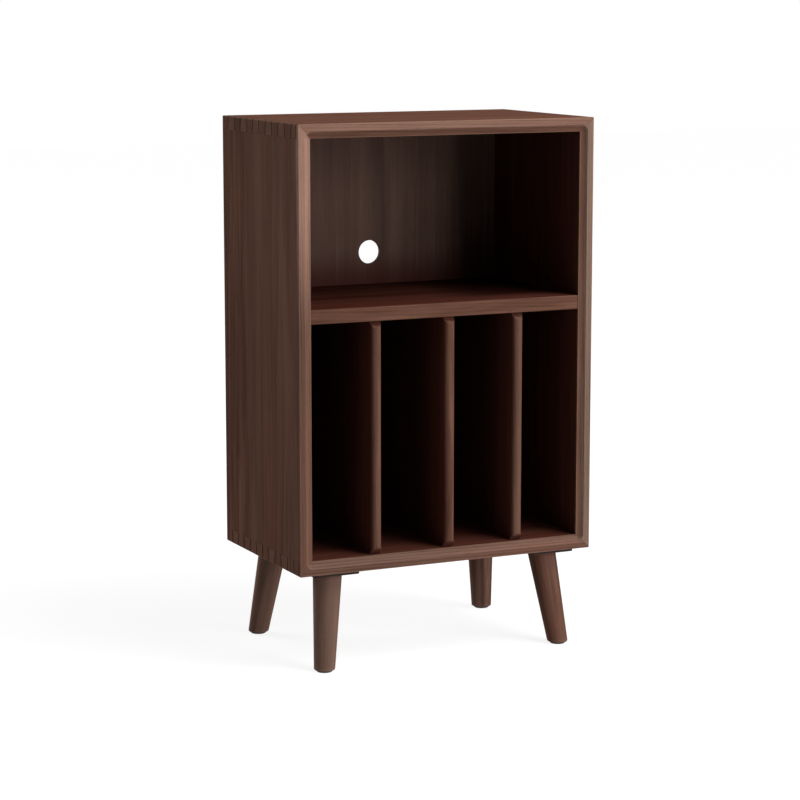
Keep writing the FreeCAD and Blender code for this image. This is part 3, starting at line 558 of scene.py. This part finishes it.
def board_finish(name, order, middle, depth_shade, stave=0.112, seed=0.0, case=None, shine=0.05):
    """Walnut with its grain along the first letter of the order and across the second.

    The depth shade, which is painted shade, and the seed are numbers or functions of the
    finish. The case's boards give a third function, which says how strong the painted sheen
    on their front edges is, and they get joint lines."""
    finish = Finish(name)
    places = {"x": finish.x, "y": finish.y, "z": finish.z}
    along, across, through = (
        places[letter] - float(middle["xyz".index(letter)]) for letter in order
    )
    seed, depth_shade = (value(finish) if callable(value) else value for value in (seed, depth_shade))
    colour, pore, fibre, late = walnut_tone(finish, along, across, through, stave, seed)
    # Painted shade inside the case: redder behind the front edges and darker with depth.
    colour = paint_inner_shade(finish, colour, depth_shade)
    groove = None
    if case is not None:
        end_grain = (abs(finish.x) > HALF_WIDTH - 0.001) * ("x" == order[0])
        colour = finish.mix(end_grain * 0.6, colour, END_GRAIN)
        colour = finish.mix((finish.z > TOP - 0.001) * 0.55, colour, RUSSET)
        # Painted sheen and highlight on the front edges: warm on the left and top, grey on the
        # right and bottom.
        share, reach, ash = case(finish)
        pale = finish.mix(ash, WARM_SHEEN, GREY_SHEEN)
        colour = finish.mix(painted_front_sheen(finish, share, reach) - late * 0.12, colour, pale)
        rubbed = worn_edges(finish) * (0.25 + fibre * 0.5)
        colour = finish.mix(rubbed, colour, RUBBED)
        groove = joint_lines(finish)
    return close_walnut(finish, colour, pore, fibre, late, groove, shine)


def sheen_sides(finish):
    """The front edges' share of painted sheen, its reach and how grey it is.

    The right board has a little painted sheen all along, the left a painted highlight at its
    top."""
    right = finish.x > 0.0
    up = (finish.z - MIDDLE).rise(0.0, 0.26)
    return right * 0.32 + (1.0 - right) * up * 0.72, 0.012 - right * 0.008, right


def sheen_ends(finish):
    """The same three for the top board, and for the bottom one, whose painted sheen is
    stronger higher up.
    """
    top = finish.z > MIDDLE
    bottom_share = (finish.z - BOTTOM).rise(0.004, 0.020) * 0.24 + 0.10
    return top * 0.39 + (1.0 - top) * bottom_share, 0.012 - top * 0.008, (1.0 - top) * 0.25


case_middle = (0.0, (FRONT + BACK) / 2, MIDDLE)
walnut_sides = board_finish(
    "walnut_sides",
    "zyx",
    case_middle,
    depth_shade=0.30,
    seed=lambda finish: (finish.x > 0.0) * 13.0 + 3.0,
    case=sheen_sides,
    shine=0.01,
)
walnut_ends = board_finish(
    "walnut_ends",
    "xyz",
    case_middle,
    depth_shade=0.55,
    seed=lambda finish: (finish.z > MIDDLE) * 17.0 + 29.0,
    case=sheen_ends,
    shine=0.01,
)
walnut_shelf = board_finish(
    "walnut_shelf",
    "xyz",
    (shelf_low + shelf_high) / 2,
    # Painted shadow of the right side: the shelf's painted shade grows towards the right.
    depth_shade=lambda finish: finish.x.rise(0.0, 0.14) * 0.62 + 0.25,
    seed=65.0,
    shine=0.0,
)
walnut_dividers = board_finish(
    "walnut_dividers",
    "zyx",
    case_middle,
    depth_shade=0.75,
    seed=lambda finish: (finish.x / 0.13 + 0.5).whole() * 7.0 + 80.0,
)
print("board finishes:", len([m for m in bpy.data.materials if m.name.startswith("walnut")]))

# %% [markdown]
# ## The back panel's finish
#
# The panel is thin plywood with a walnut face, in wide leaves with upright grain. It is
# darker and duller than the solid boards. On its inner side, from a hand's width above the
# shelf down, it is painted redder and darker still: painted shade, with red light bounced
# from the shelf. That tone was matched to the photograph too. Round the cable hole the cut
# shows the layers. They are stripes through the panel's thickness, and because the finish is
# solid they appear by themselves wherever it is cut through.

# %% Finish the back panel
PANEL_GREY = (0.066, 0.048, 0.042)
PANEL_PAINTED_SHADE = (0.045, 0.007, 0.005)
PALE_PLY, DARK_PLY = (0.16, 0.095, 0.055), (0.075, 0.040, 0.024)
LEAF, PLY = 0.131, 0.0026


def panel_finish():
    finish = Finish("walnut_panel")
    middle = (panel_low + panel_high) / 2
    along, across = finish.z - float(middle[2]), finish.x - float(middle[0])
    through = finish.y - float(middle[1])
    colour, pore, fibre, late = walnut_tone(
        finish, along, across, through, LEAF, 150.0, rings=0.05
    )
    colour = finish.mix(0.50, colour, PANEL_GREY)
    # Painted shade and painted red bounce light on the inner face just above the shelf.
    near_shelf = 1.0 - (finish.z - float(shelf_high[2])).rise(0.0, 0.07)
    unlit = near_shelf * (through < 0.0)
    colour = finish.mix(unlit * 0.75, colour, PANEL_PAINTED_SHADE)
    half = float(panel_high[1] - panel_low[1]) / 2
    face = abs(through).rise(half - 0.0009, half - 0.0007)
    layer = ((through / PLY + 0.5).whole() % 2.0).rise(0.4, 0.6)
    core = finish.mix((1.0 - fibre) * 0.4, finish.mix(layer, PALE_PLY, DARK_PLY), (0.0,) * 3)
    colour = finish.mix(face, core, colour)
    return close_walnut(finish, colour, pore, fibre, late)


walnut_panel = panel_finish()
print("panel is", round(float(panel_high[1] - panel_low[1]) * 1000, 1), "mm thick")

# %% [markdown]
# ## The legs' finish
#
# A leg is turned from a straight square of walnut, so its grain follows its own leaning
# axis. Turning the pattern would do, and so would sliding it sideways by as much as the leg
# leans at each height. Sliding is one subtraction each way, and by taking the distances
# without their signs it serves all four legs.

# %% Finish the legs
plate_low, plate_high = low_high("leg_plate_back_right")
glide_low, glide_high = low_high("glide_back_right")
LEG_TOP = ((plate_low + plate_high) / 2)[:2].tolist()
LEG_FOOT = ((glide_low + glide_high) / 2)[:2].tolist()
LEG_HIGH, LEG_LOW = float(plate_low[2]), float(glide_high[2])
LEG_PALE = (0.27, 0.170, 0.130)


def leg_finish():
    finish = Finish("walnut_leg")
    fall = (LEG_HIGH - finish.z) / (LEG_HIGH - LEG_LOW)
    across = abs(finish.x) - LEG_TOP[0] - fall * (LEG_FOOT[0] - LEG_TOP[0])
    through = abs(finish.y) - LEG_TOP[1] - fall * (LEG_FOOT[1] - LEG_TOP[1])
    which = (finish.x > 0.0) * 3.0 + (finish.y > 0.0) * 8.0
    along = finish.z + which
    colour, pore, fibre, late = walnut_tone(
        finish, along, across, through + 0.01, 0.30, which + 201.0, figure=2.2
    )
    turned = finish.noise((0.0, 0.0, finish.z * 900.0 + which), 2.0)
    # Paler at the foot; the two left legs are paler still as painted light, where more light
    # reached them.
    foot = 1.0 - finish.z.rise(0.004, 0.012)
    pale = 0.06 + foot * 0.15 + (finish.x < 0.0) * 0.30
    colour = finish.mix(pale, colour, LEG_PALE)
    return close_walnut(finish, colour, pore, fibre + turned * 0.2, late)


walnut_leg = leg_finish()
lean = math.dist(LEG_TOP, LEG_FOOT) / (LEG_HIGH - LEG_LOW)
print("legs lean", round(math.degrees(math.atan(lean)), 1), "degrees")

# %% [markdown]
# ## Steel, lacquer, nylon and beech
#
# The plates under the case are pressed steel in dark lacquer, with the fine orange-peel
# that sprayed lacquer has. Screws and bolts are zinc plated: a pale metal whose patches of
# crystals differ a little. The glides are nylon, and the dowels are beech. All but the
# plates are small or hidden, but they are seen when the cabinet is taken apart.

# %% Finish the small parts
def lacquer_finish():
    finish = Finish("dark_plate")
    cloud = finish.noise(finish.place, 3.0, 0.6, 55.0)
    peel = finish.noise(finish.place, 2.0, 0.5, 1400.0)
    scratch = finish.noise((finish.x * 40.0, finish.y * 900.0, finish.z * 900.0), 2.0)
    colour = finish.mix(cloud.rise(0.3, 0.7), (0.026, 0.016, 0.013), (0.044, 0.027, 0.022))
    worn = scratch.rise(0.66, 0.72) * cloud.rise(0.45, 0.6) * 0.3
    colour = finish.mix(worn, colour, (0.09, 0.08, 0.08))
    constants = {"Specular IOR Level": 0.08}
    readings = {"Base Color": colour, "Roughness": 0.50 + cloud * 0.20}
    return finish.surface(constants, readings, peel, bump=0.2, depth=0.0001)


def zinc_finish():
    finish = Finish("zinc_steel")
    settings = {"feature": "F1"}
    values = {"Vector": finish.place, "Scale": 700.0}
    crystal = finish.node("ShaderNodeTexVoronoi", settings, values, "Distance")
    cloud = finish.noise(finish.place, 3.0, 0.6, 240.0)
    colour = finish.mix(cloud.rise(0.3, 0.7), (0.44, 0.45, 0.46), (0.66, 0.66, 0.64))
    readings = {"Base Color": colour, "Roughness": 0.28 + cloud * 0.2 + crystal * 0.1}
    return finish.surface({"Metallic": 1.0}, readings, crystal, bump=0.15, depth=0.0001)


def nylon_finish():
    finish = Finish("glide_nylon")
    cloud = finish.noise(finish.place, 3.0, 0.6, 160.0)
    grain = finish.noise(finish.place, 2.0, 0.5, 2600.0)
    colour = finish.mix(cloud.rise(0.35, 0.65), (0.030, 0.027, 0.025), (0.045, 0.041, 0.038))
    constants = {"Specular IOR Level": 0.4}
    readings = {"Base Color": colour, "Roughness": 0.5 + cloud * 0.2}
    return finish.surface(constants, readings, grain, bump=0.25, depth=0.0001)


def beech_finish():
    finish = Finish("beech")
    fleck = finish.noise((finish.x * 300.0, finish.y * 900.0, finish.z * 300.0), 2.0)
    cloud = finish.noise(finish.place, 3.0, 0.5, 30.0)
    colour = finish.mix(cloud.rise(0.3, 0.7), (0.52, 0.34, 0.20), (0.64, 0.45, 0.28))
    colour = finish.mix(fleck.rise(0.6, 0.7) * 0.35, colour, (0.30, 0.16, 0.08))
    constants = {"Specular IOR Level": 0.25}
    readings = {"Base Color": colour, "Roughness": 0.55 + fleck * 0.15}
    return finish.surface(constants, readings, fleck, bump=0.2, depth=0.0002)


dark_plate, zinc_steel = lacquer_finish(), zinc_finish()
glide_nylon, beech = nylon_finish(), beech_finish()
print("finishes:", len(bpy.data.materials))

# %% [markdown]
# ## Pieces made of rings
#
# Legs, glides, dividers and the shelf are all one idea: an outline that is carried along a
# path and may change on the way. The points are a grid of rings by places round a ring.
# Each ring joins the next by a band of quads, and a fan to a middle point closes each end.
# Blender's own lathe or extrude could do it, but with arrays the shape is one formula, and
# its faces point outwards by the order of the points.

# %% Turn a grid of points into a closed piece
def ring_faces(rings, around):
    """Corner numbers of the bands between rings and of the fans at both ends."""
    ring, step = np.meshgrid(np.arange(rings - 1), np.arange(around), indexing="ij")
    after = (step + 1) % around
    here, above = ring * around, (ring + 1) * around
    bands = np.stack([here + step, here + after, above + after, above + step], -1)
    step = np.arange(around)
    after = (step + 1) % around
    last = (rings - 1) * around
    first_middle = np.full(around, rings * around)
    low_fan = np.stack([first_middle, after, step], -1)
    high_fan = np.stack([first_middle + 1, last + step, last + after], -1)
    return bands.reshape(-1, 4).tolist() + low_fan.tolist() + high_fan.tolist()


def round_off(piece, sharp=35):
    """Smooth shading between faces that meet at less than that many degrees."""
    piece.data.shade_smooth()
    piece.data.set_sharp_from_angle(angle=math.radians(sharp))
    smoother = piece.modifiers.new("even_shading", "WEIGHTED_NORMAL")
    smoother.keep_sharp = True
    smoother.weight = 80


def lay_rings(name, points, finish, stands_for):
    """A piece from an array of rings, which takes the place of a solid."""
    mesh = bpy.data.meshes.new(name)
    ends = points[[0, -1]].mean(1)
    corners = np.concatenate([points.reshape(-1, 3), ends])
    mesh.from_pydata(corners.tolist(), [], ring_faces(*points.shape[:2]))
    mesh.materials.append(finish)
    piece = bpy.data.objects.new(name, mesh)
    scene.collection.objects.link(piece)
    round_off(piece)
    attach(piece, "root")
    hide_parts(stands_for)
    return piece


def turned_rings(middles, radii, around=96):
    """Level circles: ring i has its middle at row i of middles and radius i of radii."""
    turn = np.linspace(0, 2 * np.pi, around, endpoint=False)
    circle = np.stack([np.cos(turn), np.sin(turn), np.zeros(around)], -1)
    return middles[:, None, :] + radii[:, None, None] * circle[None]


print("a ring of 96 places has", len(ring_faces(2, 96)), "faces with both ends closed")

# %% [markdown]
# ## The legs
#
# Each leg tapers from its plate to the floor and leans outwards both ways. Its foot and its
# top are cut level, so its cross sections are level circles whose middle slides along the
# leaning axis. The foot's edge is rounded, and the top edge is eased where a turner would
# take the tool off, which leaves a thin shadow under the plate.

# %% Turn the four legs
LEG_TOP_RADIUS, LEG_FOOT_RADIUS = 0.025, 0.018
FOOT_ROUND, TOP_EASE = 0.0025, 0.0008


def leg_rings(side, end):
    """Radius and middle go in proportion to height, less a quarter circle at each end:
    at an angle t of the round, the ring is in by r (1 - sin t) and up by r (1 - cos t)."""
    turn = np.linspace(0, np.pi / 2, 7)
    foot_up, foot_in = FOOT_ROUND * (1 - np.cos(turn)), FOOT_ROUND * (1 - np.sin(turn))
    top_down, top_in = TOP_EASE * (1 - np.cos(turn)), TOP_EASE * (1 - np.sin(turn))
    shaft = np.linspace(LEG_LOW + FOOT_ROUND, LEG_HIGH - TOP_EASE, 14)[1:-1]
    height = np.concatenate([LEG_LOW + foot_up, shaft, LEG_HIGH - top_down[::-1]])
    inwards = np.concatenate([foot_in, np.zeros(len(shaft)), top_in[::-1]])
    share = (height - LEG_LOW) / (LEG_HIGH - LEG_LOW)
    radius = LEG_FOOT_RADIUS + share * (LEG_TOP_RADIUS - LEG_FOOT_RADIUS) - inwards
    x = side * (LEG_FOOT[0] + share * (LEG_TOP[0] - LEG_FOOT[0]))
    y = end * (LEG_FOOT[1] + share * (LEG_TOP[1] - LEG_FOOT[1]))
    return turned_rings(np.stack([x, y, height], -1), radius)


CORNERS = {
    "front_left": (-1, -1),
    "front_right": (1, -1),
    "back_left": (-1, 1),
    "back_right": (1, 1),
}
for corner, (side, end) in CORNERS.items():
    rings = leg_rings(side, end)
    leg = lay_rings(f"turned_leg_{corner}", rings, walnut_leg, f"leg_{corner}")
    print(leg.name, len(leg.data.polygons), "faces")

# %% [markdown]
# ## The glides
#
# Under each foot is a nylon glide, a disc that is nailed on. Its edge is rounded so that it
# slides over a carpet, and the nail's head lies in a small pit in its middle. Its section
# is a row of radii and heights that is spun about the upright axis.

# %% Spin the glides
GLIDE_RADIUS, GLIDE_HEIGHT, GLIDE_EDGE = 0.013, 0.003, 0.0008
PIT_RADII = (0.0006, 0.0022, 0.0028, 0.0034, 0.0050)
PIT_HEIGHTS = (0.0009, 0.0008, 0.0004, 0.0001, 0.0)


def glide_rings(x, y):
    """From the pit's middle out along the underside, round the edge and in over the top."""
    turn = np.linspace(0, np.pi / 2, 6)
    rim_in, rim_up = GLIDE_EDGE * (1 - np.sin(turn)), GLIDE_EDGE * (1 - np.cos(turn))
    radii = np.concatenate([PIT_RADII, GLIDE_RADIUS - rim_in, [GLIDE_RADIUS, 0.0010]])
    heights = np.concatenate([PIT_HEIGHTS, rim_up, [GLIDE_HEIGHT, GLIDE_HEIGHT]])
    middles = np.stack([np.full(len(radii), x), np.full(len(radii), y), heights], -1)
    return turned_rings(middles, radii, around=64)


for corner, (side, end) in CORNERS.items():
    rings = glide_rings(side * LEG_FOOT[0], end * LEG_FOOT[1])
    lay_rings(f"nylon_glide_{corner}", rings, glide_nylon, f"glide_{corner}")
print("glides are", round(2000 * GLIDE_RADIUS), "mm across")

# %% [markdown]
# ## The dividers
#
# A divider is a board with a half-round front edge. Its two front corners are cut off at 45
# degrees, so that it meets the shelf and the bottom behind the hollow. The plan outline is
# carried upwards. Near an end every point is pushed back to the cutting plane, by taking
# the larger of its own depth and the plane's depth at that height.

# %% Make the dividers
BEVEL = 0.012


def divider_rings(low, high):
    """Outline of the plan, its depth limited to front + bevel - distance to the nearer end."""
    half = (high[0] - low[0]) / 2
    middle = (high[0] + low[0]) / 2
    turn = np.linspace(np.pi, 2 * np.pi, 33)
    nose = np.stack([half * np.cos(turn), low[1] + half + half * np.sin(turn)], -1)
    depth = np.linspace(low[1] + half, high[1], 9)[1:]
    right = np.stack([np.full(8, half), depth], -1)
    left = np.stack([np.full(8, -half), depth[::-1]], -1)
    plan = np.concatenate([right, left, nose])
    near_end = np.linspace(0, BEVEL, 25)
    shaft = np.linspace(low[2] + BEVEL, high[2] - BEVEL, 8)[1:-1]
    height = np.concatenate([low[2] + near_end, shaft, high[2] - near_end[::-1]])
    distance = np.minimum(height - low[2], high[2] - height)
    limit = low[1] + BEVEL - distance
    x = np.broadcast_to(middle + plan[:, 0], (len(height), len(plan)))
    y = np.maximum(plan[None, :, 1], limit[:, None])
    z = np.broadcast_to(height[:, None], x.shape)
    return np.stack([x, y, z], -1)


for place in ("left", "middle", "right"):
    low, high = low_high(f"divider_{place}")
    rings = divider_rings(low, high)
    lay_rings(f"upright_{place}", rings, walnut_dividers, f"divider_{place}")
    print("divider", place, "at x =", round(float(low[0] + high[0]) / 2, 4))

# %% [markdown]
# ## The shelf
#
# The shelf is one section carried from side to side: a board with its two front edges
# rounded over by a millimetre and a half, which catches a thin line of light.

# %% Make the shelf
SHELF_ROUND = 0.0015


def shelf_rings(low, high):
    """Section: sharp at the back, with a quarter circle at each front edge."""
    turn = np.linspace(0, np.pi / 2, 7)
    front, back = low[1], high[1]
    sine, cosine = SHELF_ROUND * np.sin(turn), SHELF_ROUND * np.cos(turn)
    under = np.stack([front + SHELF_ROUND - sine, low[2] + SHELF_ROUND - cosine], -1)
    over = np.stack([front + SHELF_ROUND - cosine, high[2] - SHELF_ROUND + sine], -1)
    far = np.array([[back, high[2]], [back, low[2]]])
    section = np.concatenate([under, over, far])[::-1]
    x = np.linspace(low[0], high[0], 12)
    grid = np.broadcast_to(section, (len(x), *section.shape))
    across = np.broadcast_to(x[:, None, None], (len(x), len(section), 1))
    return np.concatenate([across, grid], -1)


rings = shelf_rings(shelf_low, shelf_high)
lay_rings("fixed_shelf", rings, walnut_shelf, "shelf")
print("shelf section has", rings.shape[1], "points")

# %% [markdown]
# ## The case boards, the panel and the plates
#
# These pieces have shapes that rings can't give: pins and tails, a hollow that turns a
# corner in a quarter of a ball, a hole, countersinks. Their solids have all of it already,
# but as loose flat triangles. A copy is joined up along its shared edges, so that curved
# faces shade smoothly while the flat ones stay flat. Blender can average the directions of
# neighbouring triangles, and does so for the panel and the plates. On the case, averaging
# would smear the small flat ends of the pins, but the curves there are known: the hollow is
# the track of a ball and the edges are quarter rounds, so their directions are worked out.

# %% Join up copies of the solids
COVE_RADIUS, COVE_STAND_OFF, EDGE_ROUND = 0.015, 0.009, 0.0015
WELD, CLOSE = 1e-6, 3e-5
FLAT, ALIKE = 0.9995, 0.8


def case_directions(mesh):
    """The way the case's surface looks, a row for every corner p of every triangle.

    In the hollow it looks at q, the nearest point of the ball's path: (q - p) / |q - p|.
    On a rounded edge it looks away from the nearest point of a box that is smaller by the
    edge's radius all round. Everywhere else it is the triangle's own direction, as it is
    where the distance isn't close to the radius or the two directions aren't alike."""
    corner = np.zeros(len(mesh.loops), np.int32)
    mesh.loops.foreach_get("vertex_index", corner)
    places = np.zeros(3 * len(mesh.vertices), np.float32)
    mesh.vertices.foreach_get("co", places)
    p = places.reshape(-1, 3)[corner] - (0, 0, MIDDLE)
    own = np.zeros(3 * len(mesh.polygons), np.float32)
    mesh.polygons.foreach_get("normal", own)
    own = np.repeat(own.reshape(-1, 3), 3, axis=0)
    opening = np.array([INNER_X, 0.0, INNER_Z])
    path = np.clip(p, -opening, opening) + (0, FRONT - COVE_STAND_OFF, 0)
    half = np.array([HALF_WIDTH, (BACK - FRONT) / 2, HALF_HEIGHT]) - EDGE_ROUND
    centre = np.array([0.0, (FRONT + BACK) / 2, 0.0])
    core = centre + np.clip(p - centre, -half, half)
    ways = own.copy()
    curved = np.abs(own).max(1) < FLAT
    for way, radius in ((path - p, COVE_RADIUS), (p - core, EDGE_ROUND)):
        length = np.linalg.norm(way, axis=1)
        way = way / np.maximum(length, 1e-9)[:, None]
        fits = curved & (np.abs(length - radius) < CLOSE) & ((way * own).sum(1) > ALIKE)
        ways[fits] = way[fits]
    return ways


def smooth_copy(name, node, finish, slot):
    """A copy of a solid with its doubled corners joined."""
    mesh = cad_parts[node].data.copy()
    mesh.name = name
    joined = bmesh.new()
    joined.from_mesh(mesh)
    bmesh.ops.remove_doubles(joined, verts=joined.verts, dist=WELD)
    joined.to_mesh(mesh)
    joined.free()
    mesh.materials.clear()
    mesh.materials.append(finish)
    piece = bpy.data.objects.new(name, mesh)
    scene.collection.objects.link(piece)
    if slot == "walnut":
        mesh.shade_smooth()
        mesh.normals_split_custom_set(case_directions(mesh).tolist())
    else:
        round_off(piece, 30)
    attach(piece, "root")
    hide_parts(node)
    return piece


COPIES = [
    ("left_side_board", "side_panel_left", walnut_sides, "walnut"),
    ("right_side_board", "side_panel_right", walnut_sides, "walnut"),
    ("lower_board", "bottom_board", walnut_ends, "walnut"),
    ("upper_board", "top_board", walnut_ends, "walnut"),
    ("plywood_back", "back_panel", walnut_panel, "walnut_panel"),
]
for corner in CORNERS:
    plate = f"steel_plate_{corner}", f"leg_plate_{corner}", dark_plate, "dark_plate"
    COPIES.append(plate)
for name, node, finish, slot in COPIES:
    piece = smooth_copy(name, node, finish, slot)
    print(name, len(piece.data.vertices), "corners")

# %% [markdown]
# ## Screws, bolts and dowels
#
# The fasteners' solids are right as they are, down to the cross in each head, so they only
# take their finish.

# %% Finish the fasteners
FASTENERS = {
    "plate_screws": zinc_steel,
    "back_panel_screws": zinc_steel,
    "shelf_dowels": beech,
    "divider_dowels_lower": beech,
    "divider_dowels_upper": beech,
}
FASTENERS.update({f"hanger_bolt_{corner}": zinc_steel for corner in CORNERS})
for node, finish in FASTENERS.items():
    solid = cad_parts[node]
    for place in solid.material_slots:
        place.material = finish
    if not solid.material_slots:
        solid.data.materials.append(finish)
print("fasteners:", len(FASTENERS))
